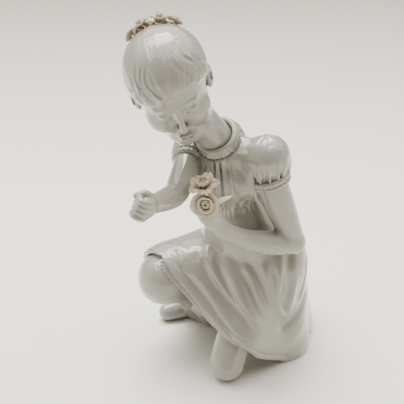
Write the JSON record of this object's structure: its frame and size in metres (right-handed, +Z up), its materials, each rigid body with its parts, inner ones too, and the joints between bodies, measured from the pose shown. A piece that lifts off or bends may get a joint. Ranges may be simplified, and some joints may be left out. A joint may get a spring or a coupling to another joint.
{
  "type": "porcelain figurine",
  "caption": "White glazed porcelain figurine of a kneeling figure in a long draped dress, head bowed, holding modelled flowers, with a flower garland in the hair.",
  "frame": {"origin": "centre of the figurine's outline, on the surface it rests on", "axes": "+Z up; -Y towards the viewer who sees the bowed crown and the flowers; +X to that viewer's right"},
  "size_m": [0.0981, 0.1262, 0.1958],
  "materials": {
    "porcelain": "clear glossy glaze over cool white porcelain",
    "bisque": "matte unglazed cream bisque"
  },
  "bodies": {
    "root": {"head": "porcelain", "hair_bun": "porcelain", "collar_band": "porcelain", "bodice": "porcelain", "left_sleeve": "porcelain", "right_sleeve": "porcelain", "left_cuff_band": "porcelain", "right_cuff_band": "porcelain", "left_upper_arm": "porcelain", "left_forearm": "porcelain", "left_hand": "porcelain", "right_arm": "porcelain", "right_hand": "porcelain", "skirt": "porcelain", "hem_band": "porcelain", "petticoat": "porcelain", "petticoat_lace": "porcelain", "right_leg": "porcelain", "right_shoe": "porcelain", "left_leg": "porcelain", "base_plate": "porcelain", "garland_band": "bisque", "crown_flower_1": "bisque", "crown_flower_2": "bisque", "crown_flower_3": "bisque", "crown_flower_4": "bisque", "crown_flower_5": "bisque", "crown_flower_6": "bisque", "crown_centre_1": "bisque", "crown_centre_2": "bisque", "crown_centre_3": "bisque", "crown_centre_4": "bisque", "crown_centre_5": "bisque", "crown_centre_6": "bisque", "bouquet_stem": "bisque", "rose_heart": "bisque", "rose_inner_petals": "bisque", "rose_outer_petals": "bisque", "blossom_petals": "bisque", "blossom_centre": "bisque", "bouquet_leaf": "bisque"}
  },
  "joints": []
}
